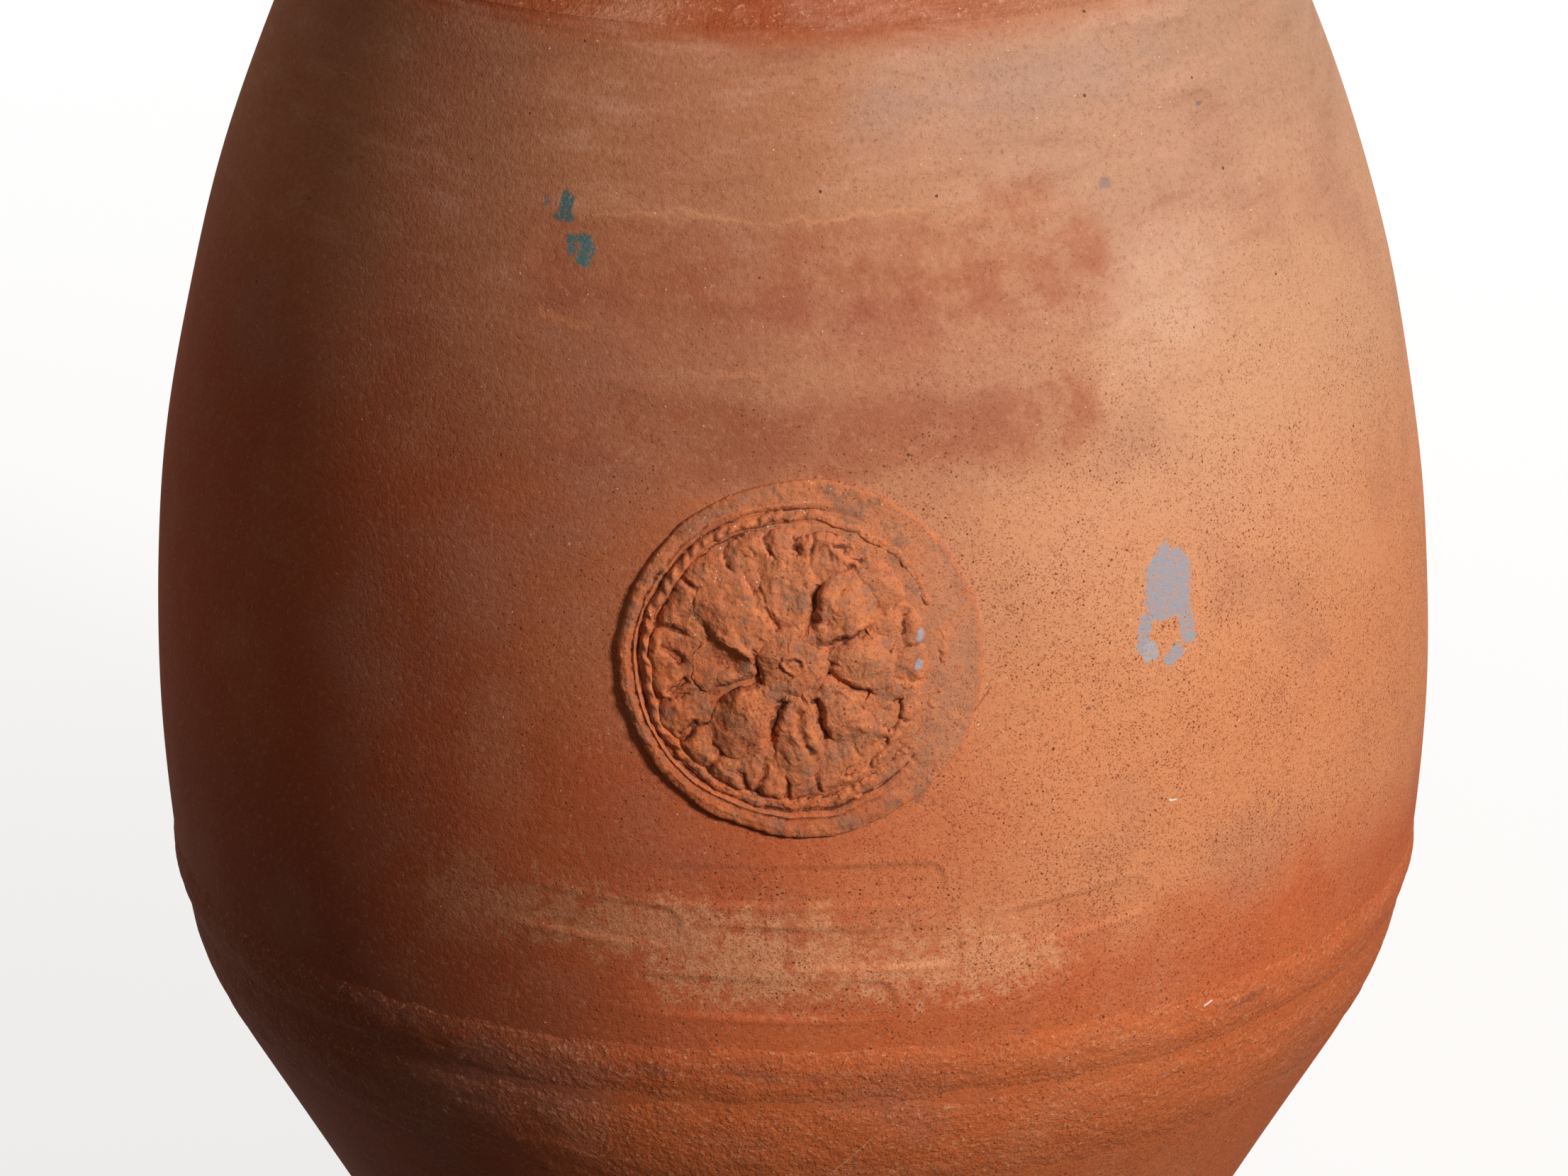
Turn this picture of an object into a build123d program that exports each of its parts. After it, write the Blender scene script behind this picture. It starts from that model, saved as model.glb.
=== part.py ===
from build123d import *
import os
from math import asin, cos, degrees, radians, sin, sqrt

# A large unglazed terracotta storage jar, coil-built in rings of clay.
# The origin is under the middle of the base and the medallion faces -Y. Millimetres.

# Driving sizes of the wall. Radii are of the outer face and heights are above the ground.
# A draw is how far a face has come in from the one named before it.
wall_thickness = 26.0
belly_radius = 286.0
belly_height = 369.0
shoulder_draw = 78.3
shoulder_height = 716.0
roll_groove_draw = 4.0
roll_groove_height = 292.0
hip_draw = 24.0
hip_height = 215.0
hip_bulge = 4.0
wall_foot_radius = 153.0

# The base: a beaten slab with a coil pressed round its edge.
slab_inset = 4.0
slab_thickness = 30.0
foot_coil_width = 12.0
foot_edge_height = 19.0
foot_edge_chamfer = 3.0

# The wall rings, three below the belly roll's joint and five above it.
lower_course_count = 3
upper_course_count = 5
joint_ridge_height = 6.0
joint_ridge_width = 14.0

# Two raised bands below the belly, pressed over the joints between rings.
belly_roll_width = 21.0
belly_roll_proud = 6.5
fascia_width = 50.0
fascia_proud = 5.0
band_gap = 3.0
band_root = 1.5

# Two fine lines turned into the shoulder, just under the neck.
turned_line_count = 2
turned_line_width = 2.4
turned_line_depth = 1.0
turned_line_pitch = 4.2

# Neck and rim.
neck_step = 2.5
neck_draw = 16.2
neck_height = 36.0
neck_curve_depth = 6.0
neck_wall = 31.0
rim_height = 53.0
rim_overhang = 25.0
rim_top_width = 26.0
rim_inner_round = 13.0

# The applied medallion: a disc with a raised edge, a corded ring, a scalloped row of leaves and,
# on the leaves, a rosette of eight petals round a boss.
medallion_radius = 75.0
medallion_rise = 98.0
medallion_thickness = 5.5
medallion_depth_room = 60.0
field_radius = 62.5
field_sink = 1.5
cord_ring_radius = 59.2
cord_bead_radius = 3.3
cord_bead_count = 60
cord_proud = 1.8
leaf_reach = 55.0
leaf_round = 8.0
leaf_count = 16
leaf_proud = 2.6
petal_count = 8
petal_start_angle = 95.0
petal_reach = 47.0
petal_proud = 3.4
petal_hollow_start = 20.0
petal_hollow_length = 21.0
petal_hollow_width = 8.0
petal_hollow_depth = 1.4
rib_start = 18.0
rib_reach = 44.0
rib_width = 3.2
rib_proud = 2.0
boss_radius = 15.5
boss_proud = 3.8
eye_radius = 5.2
eye_proud = 1.4
eye_hollow_radius = 2.2

# Half width of a petal at each share of its reach.
petal_outline_shares = [(0.35, 0.08), (0.60, 0.17), (0.82, 0.245), (0.93, 0.235)]
# Where a rib between petals is widest, as a share of its length.
rib_wide_share = 0.45

# Shallow strips pressed into the wall under the medallion, left plain.
strip_width = 17.0
strip_depth = 0.9
# Each strip: middle across, middle below the medallion's middle, and length, as shares
# of the medallion's radius, then its tilt in degrees.
strip_place_shares = [
    (-0.03, 1.29, 1.74, 0.0),
    (-1.16, 1.53, 1.06, -4.0),
    (0.18, 1.67, 1.50, -1.0),
    (1.46, 1.61, 1.08, 6.0),
    (-0.22, 1.98, 1.56, -1.0),
]

overrun = 20.0


def arc_drop(radius, rise):
    """How far an arc has fallen away from its crown, a rise along from it."""
    return radius - sqrt(radius**2 - rise**2)


shoulder_rise = shoulder_height - belly_height
shoulder_arc_radius = (shoulder_rise**2 + shoulder_draw**2) / (2 * shoulder_draw)
roll_groove_radius = belly_radius - roll_groove_draw
hip_radius = roll_groove_radius - hip_draw
under_belly_rise = belly_height - roll_groove_height
under_belly_arc_radius = (under_belly_rise**2 + roll_groove_draw**2) / (2 * roll_groove_draw)


def wall_radius(height):
    """Outer radius of the wall at a height."""
    if height >= belly_height:
        return belly_radius - arc_drop(shoulder_arc_radius, height - belly_height)
    if height >= roll_groove_height:
        return belly_radius - arc_drop(under_belly_arc_radius, belly_height - height)
    if height >= hip_height:
        share = (height - hip_height) / (roll_groove_height - hip_height)
        chord = hip_radius + share * (roll_groove_radius - hip_radius)
        return chord + 4 * hip_bulge * share * (1 - share)
    share = (height - slab_thickness) / (hip_height - slab_thickness)
    return wall_foot_radius + share * (hip_radius - wall_foot_radius)


def arc_through(low, high, lift=0.0):
    """Part of the wall's outer meridian between two heights, moved out by a lift."""
    middle = (low + high) / 2
    heights = (low, middle, high)
    return ThreePointArc(*[(wall_radius(height) + lift, height) for height in heights])


def turn(section):
    """Spin a section, drawn as radius and height, once round the jar's axis."""
    return revolve(Plane.XZ * section, axis=Axis.Z)


def outer_meridian():
    """The wall's whole outer outline, from the slab to the neck."""
    cone = Line((wall_foot_radius, slab_thickness), (hip_radius, hip_height))
    curve = cone + arc_through(hip_height, roll_groove_height)
    curve += arc_through(roll_groove_height, belly_height)
    return curve + arc_through(belly_height, shoulder_height)


# Wall section and its rings
def wall_section():
    outer = outer_meridian()
    inner = Pos(-wall_thickness, 0) * outer_meridian()
    floor_line = Line(inner @ 0, outer @ 0)
    neck_line = Line(outer @ 1, inner @ 1)
    section = make_face(outer + neck_line + inner + floor_line)
    for line in range(turned_line_count):
        height = shoulder_height - (line + 0.5) * turned_line_pitch
        half = turned_line_width / 2
        radius = wall_radius(height)
        notch = Polygon(
            (radius + half, height - half),
            (radius + half, height + half),
            (radius - turned_line_depth, height),
            align=None,
        )
        section -= notch
    return section


roll_low = roll_groove_height - belly_roll_width
roll_joint = (roll_low + roll_groove_height) / 2
lower_pitch = (roll_joint - slab_thickness) / lower_course_count
upper_pitch = (shoulder_height - roll_joint) / upper_course_count
joint_heights = [slab_thickness + lower_pitch * step for step in range(lower_course_count)]
joint_heights += [roll_joint + upper_pitch * step for step in range(upper_course_count + 1)]


def joint_outline(height, ridged):
    """A joint between rings, read outwards: flat, with a low ridge in mid-wall."""
    far = belly_radius + overrun
    if not ridged:
        return [(0, height), (far, height)]
    middle = wall_radius(height) - wall_thickness / 2
    half = joint_ridge_width / 2
    ridge = [(middle - half, height), (middle, height + joint_ridge_height), (middle + half, height)]
    return [(0, height)] + ridge + [(far, height)]


def course(index):
    """One ring of the wall, hollow underneath to straddle the ridge of the ring below."""
    low = joint_outline(joint_heights[index], index > 0)
    high = joint_outline(joint_heights[index + 1], index + 2 < len(joint_heights))
    strip = make_face(Polyline(*low, *reversed(high), close=True))
    return turn(whole_wall & strip)


whole_wall = wall_section()
courses = [course(index) for index in range(len(joint_heights) - 1)]

# Base
slab_radius = wall_foot_radius - slab_inset
foot_radius = slab_radius + foot_coil_width
floor_slab = extrude(Circle(slab_radius), slab_thickness)

foot_section = Polygon(
    (slab_radius, 0),
    (foot_radius - foot_edge_chamfer, 0),
    (foot_radius, foot_edge_chamfer),
    (foot_radius, foot_edge_height),
    (wall_foot_radius, slab_thickness),
    (slab_radius, slab_thickness),
    align=None,
)
foot_ring = turn(foot_section)


# Bands
def inside_wall():
    """Everything within the wall's outer face, to cut the backs of the bands."""
    outer = outer_meridian()
    low = Line((0, slab_thickness), outer @ 0)
    high = Line(outer @ 1, (0, shoulder_height))
    axis_side = Line((0, shoulder_height), (0, slab_thickness))
    return make_face(low + outer + high + axis_side)


def band(low, high, proud):
    """A rounded band of clay pressed on the wall between two heights."""
    middle = (low + high) / 2
    start = (wall_radius(low) - band_root, low)
    crest = (wall_radius(middle) + proud, middle)
    end = (wall_radius(high) - band_root, high)
    face = make_face(ThreePointArc(start, crest, end) + Line(end, start))
    return turn(face - inside_wall())


belly_roll = band(roll_low, roll_groove_height, belly_roll_proud)
fascia_high = roll_low - band_gap
belly_fascia = band(fascia_high - fascia_width, fascia_high, fascia_proud)

# Neck and rim
wall_top_radius = wall_radius(shoulder_height)
neck_foot_radius = wall_top_radius - neck_step
neck_radius = neck_foot_radius - neck_draw
neck_top = shoulder_height + neck_height
mouth_radius = neck_radius - neck_wall
neck_waist = ((neck_foot_radius + neck_radius) / 2 - neck_curve_depth, (shoulder_height + neck_top) / 2)
neck_face = make_face(
    ThreePointArc((neck_foot_radius, shoulder_height), neck_waist, (neck_radius, neck_top))
    + Line((neck_radius, neck_top), (mouth_radius, neck_top))
    + Line((mouth_radius, neck_top), (wall_top_radius - wall_thickness, shoulder_height))
    + Line((wall_top_radius - wall_thickness, shoulder_height), (neck_foot_radius, shoulder_height))
)
neck_collar = turn(neck_face)

rim_top = neck_top + rim_height
rim_radius = neck_radius + rim_overhang
rim_inner_edge = mouth_radius + rim_inner_round
rim_outer_edge = rim_inner_edge + rim_top_width
round_middle = rim_inner_round * (1 - sqrt(0.5))
rim_face = make_face(
    ThreePointArc((neck_radius, neck_top), (rim_radius, neck_top + rim_height / 2), (rim_outer_edge, rim_top))
    + Line((rim_outer_edge, rim_top), (rim_inner_edge, rim_top))
    + ThreePointArc(
        (rim_inner_edge, rim_top),
        (mouth_radius + round_middle, rim_top - round_middle),
        (mouth_radius, rim_top - rim_inner_round),
    )
    + Line((mouth_radius, rim_top - rim_inner_round), (mouth_radius, neck_top))
    + Line((mouth_radius, neck_top), (neck_radius, neck_top))
)
rim_roll = turn(rim_face)

# Medallion, built on a plane that touches the wall at its middle
medallion_height = belly_height + medallion_rise
medallion_lean = degrees(asin(medallion_rise / shoulder_arc_radius))
medallion_normal = (0, -cos(radians(medallion_lean)), sin(radians(medallion_lean)))
medallion_plane = Plane(
    origin=(0, -wall_radius(medallion_height), medallion_height),
    x_dir=(1, 0, 0),
    z_dir=medallion_normal,
)


def skin(inner_lift, outer_lift):
    """A layer over the wall behind the medallion, between two lifts off its face."""
    low = medallion_height - medallion_rise
    high = medallion_height + medallion_rise
    inner = arc_through(low, high, inner_lift)
    outer = arc_through(low, high, outer_lift)
    section = make_face(inner + Line(inner @ 1, outer @ 1) + outer + Line(outer @ 0, inner @ 0))
    return turn(section)


def sprig(outline, inner_lift, outer_lift):
    """A flat outline made into a relief that follows the curved wall."""
    block = extrude(medallion_plane * outline, medallion_depth_room, both=True)
    return block & skin(inner_lift, outer_lift)


def around(count, turn_share=0.0):
    """Angles in degrees of evenly spaced copies, counted from the first petal."""
    return [petal_start_angle + 360 * (step + turn_share) / count for step in range(count)]


field_lift = medallion_thickness - field_sink
leaf_lift = field_lift + leaf_proud
petal_lift = leaf_lift + petal_proud
boss_lift = leaf_lift + boss_proud

medallion_disc = sprig(Circle(medallion_radius), 0, medallion_thickness)
medallion_disc -= sprig(Circle(field_radius), field_lift, medallion_thickness + overrun)

cord_beads = Sketch() + PolarLocations(cord_ring_radius, cord_bead_count) * Circle(cord_bead_radius)
cord_ring = sprig(cord_beads, field_lift, field_lift + cord_proud)

rib_length = rib_reach - rib_start
rib_outline = Polygon(
    (rib_start, 0),
    (rib_start + rib_wide_share * rib_length, rib_width / 2),
    (rib_reach, 0),
    (rib_start + rib_wide_share * rib_length, -rib_width / 2),
    align=None,
)
rib_outlines = Sketch() + [Rot(0, 0, angle) * rib_outline for angle in around(petal_count, 0.5)]
leaf_lobes = PolarLocations(leaf_reach - leaf_round, leaf_count, petal_start_angle) * Circle(leaf_round)
leaf_outline = Circle(leaf_reach - leaf_round) + leaf_lobes
leaves = sprig(leaf_outline, field_lift, leaf_lift)
leaves += sprig(rib_outlines, leaf_lift, leaf_lift + rib_proud)

petal_side = [(along * petal_reach, half * petal_reach) for along, half in petal_outline_shares]
petal_other = [(along, -half) for along, half in reversed(petal_side)]
petal_tip = ThreePointArc(petal_side[-1], (petal_reach, 0), petal_other[0])
petal_outline = make_face(Polyline(*petal_other, *petal_side) + petal_tip)
petal_outline -= Circle(boss_radius)
petal_outlines = Sketch() + [Rot(0, 0, angle) * petal_outline for angle in around(petal_count)]
petals = sprig(petal_outlines, leaf_lift, petal_lift)
hollow_middle = petal_hollow_start + petal_hollow_length / 2
hollow_outline = Pos(hollow_middle, 0) * SlotOverall(petal_hollow_length, petal_hollow_width)
hollow_outlines = Sketch() + [Rot(0, 0, angle) * hollow_outline for angle in around(petal_count)]
petals -= sprig(hollow_outlines, petal_lift - petal_hollow_depth, petal_lift + overrun)

boss = sprig(Circle(boss_radius), leaf_lift, boss_lift)
eye = sprig(Circle(eye_radius) - Circle(eye_hollow_radius), boss_lift, boss_lift + eye_proud)


# Strips pressed into the wall below the medallion
def pressed_strips():
    outlines = Sketch()
    for across, below, length, tilt in strip_place_shares:
        bar = SlotOverall(length * medallion_radius, strip_width)
        outlines += Pos(across * medallion_radius, -below * medallion_radius) * Rot(0, 0, tilt) * bar
    upright = Plane(origin=(0, 0, medallion_height), x_dir=(1, 0, 0), z_dir=(0, -1, 0))
    block = extrude(upright * outlines, belly_radius + overrun)
    shell = arc_through(roll_groove_height, belly_height, -strip_depth)
    shell += arc_through(belly_height, medallion_height, -strip_depth)
    far = belly_radius + overrun
    top_line = Line(shell @ 1, (far, medallion_height))
    side_line = Line((far, medallion_height), (far, roll_groove_height))
    bottom_line = Line((far, roll_groove_height), shell @ 0)
    return block & turn(make_face(shell + top_line + side_line + bottom_line))


strips = pressed_strips()
for index in range(lower_course_count, lower_course_count + upper_course_count):
    if joint_heights[index] < medallion_height:
        courses[index] -= strips

parts = {
    "floor_slab": floor_slab,
    "foot_ring": foot_ring,
    "belly_fascia": belly_fascia,
    "belly_roll": belly_roll,
    "neck_collar": neck_collar,
    "rim_roll": rim_roll,
    "medallion_disc": medallion_disc,
    "medallion_cord_ring": cord_ring,
    "rosette_leaves": leaves,
    "rosette_petals": petals,
    "rosette_boss": boss,
    "rosette_eye": eye,
}
for index, ring in enumerate(courses):
    parts[f"wall_course_{index + 1}"] = ring

os.makedirs("parts", exist_ok=True)
for name, shape in parts.items():
    export_step(shape, f"parts/{name}.step")
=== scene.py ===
import math

import bpy
import numpy as np
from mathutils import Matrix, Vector, noise


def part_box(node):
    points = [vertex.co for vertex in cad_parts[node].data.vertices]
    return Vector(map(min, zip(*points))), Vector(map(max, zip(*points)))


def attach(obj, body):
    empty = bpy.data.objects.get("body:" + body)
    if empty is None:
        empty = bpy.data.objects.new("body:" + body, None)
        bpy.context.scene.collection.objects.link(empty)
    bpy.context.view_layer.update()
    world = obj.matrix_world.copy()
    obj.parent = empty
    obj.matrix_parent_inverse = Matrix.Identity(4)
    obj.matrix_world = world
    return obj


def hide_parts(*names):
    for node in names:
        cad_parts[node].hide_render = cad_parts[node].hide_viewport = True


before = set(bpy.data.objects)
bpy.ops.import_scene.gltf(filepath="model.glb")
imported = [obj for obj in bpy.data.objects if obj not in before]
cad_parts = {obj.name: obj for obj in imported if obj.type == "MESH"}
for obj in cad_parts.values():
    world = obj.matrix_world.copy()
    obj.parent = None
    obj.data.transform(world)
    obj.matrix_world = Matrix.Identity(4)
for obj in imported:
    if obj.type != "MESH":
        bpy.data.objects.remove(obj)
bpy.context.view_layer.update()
mm = 0.001

# The wall of the jar: eight rings of coarse red clay, each built by hand on the one below and
# smoothed over, so that the joints between them don't show. Fired, unglazed terracotta, 26 mm thick.
wall_thickness = 26 * mm
belly_height = 369 * mm
groove_height = 292 * mm
hip_height = 215 * mm
hip_bulge = 4 * mm
ring_count = 8
rings = [f"wall_course_{number + 1}" for number in range(ring_count)]
joints = [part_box(ring)[0].z for ring in rings] + [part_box(rings[-1])[1].z]
neck_foot_height = joints[-1]
belly_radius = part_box("wall_course_4")[1].x
hip_radius = belly_radius - 28 * mm
groove_radius = belly_radius - 4 * mm
slab_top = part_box("floor_slab")[1].z
wall_foot_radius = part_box("floor_slab")[1].x + 4 * mm


def arc_radius(rise, draw):
    """Radius of an arc that draws in by so much over a rise."""
    return (rise**2 + draw**2) / (2 * draw)


shoulder_arc = arc_radius(neck_foot_height - belly_height, 78.3 * mm)
under_belly_arc = arc_radius(belly_height - groove_height, belly_radius - groove_radius)


def wall_radius(height):
    """Outer radius of the wall at each height."""
    height = np.asarray(height, float)
    rise = np.abs(height - belly_height)
    arc = np.where(height > belly_height, shoulder_arc, under_belly_arc)
    belly = belly_radius - arc + np.sqrt(np.maximum(arc**2 - rise**2, 0))
    share = (height - hip_height) / (groove_height - hip_height)
    hip = hip_radius + share * (groove_radius - hip_radius) + 4 * hip_bulge * share * (1 - share)
    share = (height - slab_top) / (hip_height - slab_top)
    cone = wall_foot_radius + share * (hip_radius - wall_foot_radius)
    return np.where(height > groove_height, belly, np.where(height > hip_height, hip, cone))


def start_piece(name):
    """Names the newest primitive and leaves it alone and selected."""
    piece = bpy.context.object
    piece.name = name
    piece.data.name = name
    return piece


def places(piece):
    """The places of a mesh's corners, as rows of x, y and z."""
    flat = np.zeros(len(piece.data.vertices) * 3)
    piece.data.vertices.foreach_get("co", flat)
    return flat.reshape(-1, 3)


def set_places(piece, rows):
    piece.data.vertices.foreach_set("co", np.asarray(rows, float).ravel())
    piece.data.update()


def turned(name, outline, steps, crowding=0.5):
    """A closed outline of radius and height, turned about the jar's axis, with more steps in front."""
    bpy.ops.object.select_all(action="DESELECT")
    bpy.ops.mesh.primitive_circle_add(vertices=len(outline), radius=belly_radius, fill_type="NOTHING")
    piece = start_piece(name)
    radii, heights = np.array(outline).T
    set_places(piece, np.column_stack([0 * radii, -radii, heights]))
    turn = piece.modifiers.new("turn", "SCREW")
    turn.steps = turn.render_steps = steps
    turn.use_merge_vertices = True
    turn.merge_threshold = 0.01 * mm
    bpy.ops.object.modifier_apply(modifier="turn")
    rows = places(piece)
    azimuth = np.arctan2(rows[:, 0], -rows[:, 1])
    azimuth -= crowding * np.sin(azimuth)
    radii = np.hypot(rows[:, 0], rows[:, 1])
    set_places(piece, np.column_stack([radii * np.sin(azimuth), -radii * np.cos(azimuth), rows[:, 2]]))
    bpy.ops.object.mode_set(mode="EDIT")
    bpy.ops.mesh.select_all(action="SELECT")
    bpy.ops.mesh.normals_make_consistent(inside=False)
    bpy.ops.object.mode_set(mode="OBJECT")
    return piece


def finish_piece(piece, node, material, sharp=50):
    """Shading, material and the piece's place in the frame."""
    bpy.ops.object.select_all(action="DESELECT")
    piece.select_set(True)
    bpy.context.view_layer.objects.active = piece
    bpy.ops.object.shade_smooth_by_angle(angle=math.radians(sharp))
    piece.data.materials.clear()
    piece.data.materials.append(material)
    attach(piece, "root")
    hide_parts(node)


def push_out(piece, lift_at):
    """Moves a turned piece's corners away from the jar's axis by a lift worked out at each."""
    rows = places(piece)
    radii = np.hypot(rows[:, 0], rows[:, 1])
    azimuth = np.arctan2(rows[:, 0], -rows[:, 1])
    lift = lift_at(azimuth, radii, rows)
    rows[:, :2] *= ((radii + lift) / np.maximum(radii, mm))[:, None]
    set_places(piece, rows)


def smooth_step(low, high, value):
    share = np.clip((value - low) / (high - low), 0, 1)
    return share * share * (3 - 2 * share)


def hand_waves(azimuth, height):
    """Slow unevenness left by hands as the rings were built: turns, rise, phase and depth."""
    waves = (
        (2, 9, 0.6, 0.55), (3, -16, 2.1, 0.45), (5, 27, 4.0, 0.35), (8, -41, 1.2, 0.22), (13, 63, 3.3, 0.13)
    )
    return sum(
        depth * mm * np.sin(turns * azimuth + rise * height + phase) for turns, rise, phase, depth in waves
    )


# The five plain strips pressed under the medallion: middle across and up, length, and tilt in degrees.
strip_width = 17 * mm
strip_depth = 0.7 * mm
strip_burr = 0.2 * mm
strip_places = [
    (-2 * mm, 370.5 * mm, 130 * mm, 0),
    (-87 * mm, 352.5 * mm, 80 * mm, -4),
    (13.5 * mm, 342 * mm, 112 * mm, -1),
    (110 * mm, 346.5 * mm, 81 * mm, 6),
    (-16.5 * mm, 318.5 * mm, 117 * mm, -1),
]


def pressed_strips(across, height):
    """How deep the strips are pressed, with the burr of clay pushed up along their edges."""
    lift = np.zeros_like(across)
    for middle_x, middle_z, length, tilt in strip_places:
        turn = math.radians(tilt)
        along = (across - middle_x) * math.cos(turn) + (height - middle_z) * math.sin(turn)
        aside = (height - middle_z) * math.cos(turn) - (across - middle_x) * math.sin(turn)
        straight = (length - strip_width) / 2
        edge = np.hypot(np.maximum(np.abs(along) - straight, 0), aside) - strip_width / 2
        worn = 0.55 + 0.45 * np.sin(across / (19 * mm) + height / (7 * mm) + 2)
        kept = smooth_step(-straight - 8 * mm, -straight + 25 * mm, along)
        lift -= strip_depth * kept * (0.4 + 0.6 * worn) * smooth_step(0.8 * mm, -0.9 * mm, edge)
        lift += strip_burr * kept * (0.5 + worn) * np.exp(-((edge - 1.4 * mm) / (1.2 * mm)) ** 2)
    return lift


# Over the medallion the clay was worked in three rough rows and smoothed again: left, right, low, high.
patch_rows = [
    (-107 * mm, 131 * mm, 614 * mm, 639 * mm),
    (-70 * mm, 118 * mm, 592 * mm, 611 * mm),
    (-97 * mm, 127 * mm, 549 * mm, 573 * mm),
]
patch_depth = 0.45 * mm


def smoothed_patch(across, height):
    lift = np.zeros_like(across)
    for left, right, low, high in patch_rows:
        wander = 2.2 * mm * np.sin(across / (17 * mm) + low) + 1.3 * mm * np.sin(across / (6.3 * mm) + 1)
        side = np.maximum(left - across, across - right) + 2 * mm * np.sin(height / (4 * mm))
        rise = np.maximum(low - height + wander, height - high - wander)
        edge = np.hypot(np.maximum(side + 12 * mm, 0), np.maximum(rise + 12 * mm, 0)) - 12 * mm
        worn = 0.5 + 0.5 * np.sin(across / (31 * mm) + low / (9 * mm))
        lift -= patch_depth * smooth_step(4 * mm, -5 * mm, edge)
        top = smooth_step(-6 * mm, 0, height - high) * smooth_step(6 * mm, -10 * mm, side)
        lift += 0.25 * mm * worn * top * np.exp(-((edge - 2.5 * mm) / (1.4 * mm)) ** 2)
    return lift


# Two fine lines turned into the shoulder with a pointed stick, under the neck.
turned_lines = [neck_foot_height - 2.1 * mm, neck_foot_height - 6.3 * mm]
turned_line_width = 3.0 * mm


def shaped_wall(azimuth, radii, rows):
    height = rows[:, 2]
    across = rows[:, 0]
    outer = radii > wall_radius(height) - wall_thickness / 2
    in_front = rows[:, 1] < 0
    lift = hand_waves(azimuth, height)
    marks = pressed_strips(across, height) + smoothed_patch(across, height)
    for line in turned_lines:
        wander = 0.4 * mm * np.sin(5 * azimuth + line / mm)
        lift = lift - outer * 0.45 * mm * np.exp(-(((height - line - wander) / (turned_line_width / 2)) ** 2))
    return lift + outer * in_front * marks


def hex_colour(text):
    """An sRGB hex colour as the linear values that nodes take."""
    parts = [int(text[place:place + 2], 16) / 255 for place in (1, 3, 5)]
    return [part / 12.92 if part <= 0.04045 else ((part + 0.055) / 1.055) ** 2.4 for part in parts] + [1]


def add_node(tree, kind, inputs=None, **settings):
    """One node: settings are its own, and inputs are values or sockets for its inputs."""
    node = tree.nodes.new(kind)
    for name, value in settings.items():
        setattr(node, name, value)
    for name, value in (inputs or {}).items():
        if isinstance(value, bpy.types.NodeSocket):
            tree.links.new(value, node.inputs[name])
        else:
            node.inputs[name].default_value = value
    return node


def start_material(name):
    material = bpy.data.materials.new(name)
    material.use_nodes = True
    tree = material.node_tree
    tree.nodes.clear()
    place = add_node(tree, "ShaderNodeTexCoord").outputs["Object"]
    return material, tree, place


def blended(tree, first, second, share, how="MIX"):
    """Two colours mixed by a share, both of which may be sockets."""
    inputs = {0: share, 6: first, 7: second}
    settings = {"data_type": "RGBA", "blend_type": how, "clamp_factor": True}
    return add_node(tree, "ShaderNodeMix", inputs, **settings).outputs[2]


def tinted(tree, base, colour, share):
    """A colour with another, given in hex, laid over it by a share."""
    return blended(tree, base, hex_colour(colour), share)


def eased(tree, value, low, high, start=0.0, end=1.0):
    """A value eased from start to end as it goes from low to high."""
    inputs = {"Value": value, "From Min": low, "From Max": high, "To Min": start, "To Max": end}
    return add_node(tree, "ShaderNodeMapRange", inputs, interpolation_type="SMOOTHSTEP").outputs["Result"]


def summed(tree, how, first, second=0.0, third=0.0):
    return add_node(tree, "ShaderNodeMath", {0: first, 1: second, 2: third}, operation=how).outputs[0]


def product(tree, first, second):
    return summed(tree, "MULTIPLY", first, second)


def coordinates(tree, place):
    """The x, y and z of a place."""
    return add_node(tree, "ShaderNodeSeparateXYZ", {0: place}).outputs


def grain(tree, place, size, detail=4.0, rough=0.55, stretch=(1, 1, 1), shift=0.0):
    """Cloudy noise whose patches are about one size in metres, stretched along the axes."""
    scaled = add_node(
        tree, "ShaderNodeMapping", {"Vector": place, "Location": (shift, shift, shift), "Scale": stretch}
    )
    inputs = {"Vector": scaled.outputs[0], "Scale": 1 / size, "Detail": detail, "Roughness": rough}
    return add_node(tree, "ShaderNodeTexNoise", inputs).outputs["Fac"]


def specks(tree, place, spacing, radius, share):
    """Small round spots, one in some of the cells of a spacing: 1 in a spot and 0 outside."""
    cells = add_node(tree, "ShaderNodeTexVoronoi", {"Vector": place, "Scale": 1 / spacing})
    chance = add_node(tree, "ShaderNodeSeparateColor", {0: cells.outputs["Color"]})
    reach = eased(tree, chance.outputs[0], 1 - share, 1.0, 0.0, radius / spacing)
    near = summed(tree, "SUBTRACT", reach, cells.outputs["Distance"])
    return eased(tree, near, 0.0, 0.35 * radius / spacing)


def drifted(tree, place, size, reach, detail=3.0):
    """The place, shifted to and fro by a reach, so that what is drawn with it gets ragged edges."""
    inputs = {"Vector": place, "Scale": 1 / size, "Detail": detail, "Roughness": 0.6}
    drift = add_node(tree, "ShaderNodeTexNoise", inputs)
    inputs = {0: drift.outputs["Color"], 1: (0.5,) * 3}
    centred = add_node(tree, "ShaderNodeVectorMath", inputs, operation="SUBTRACT")
    inputs = {0: centred.outputs[0], 1: (2 * reach,) * 3, 2: place}
    return add_node(tree, "ShaderNodeVectorMath", inputs, operation="MULTIPLY_ADD").outputs[0]


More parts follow.
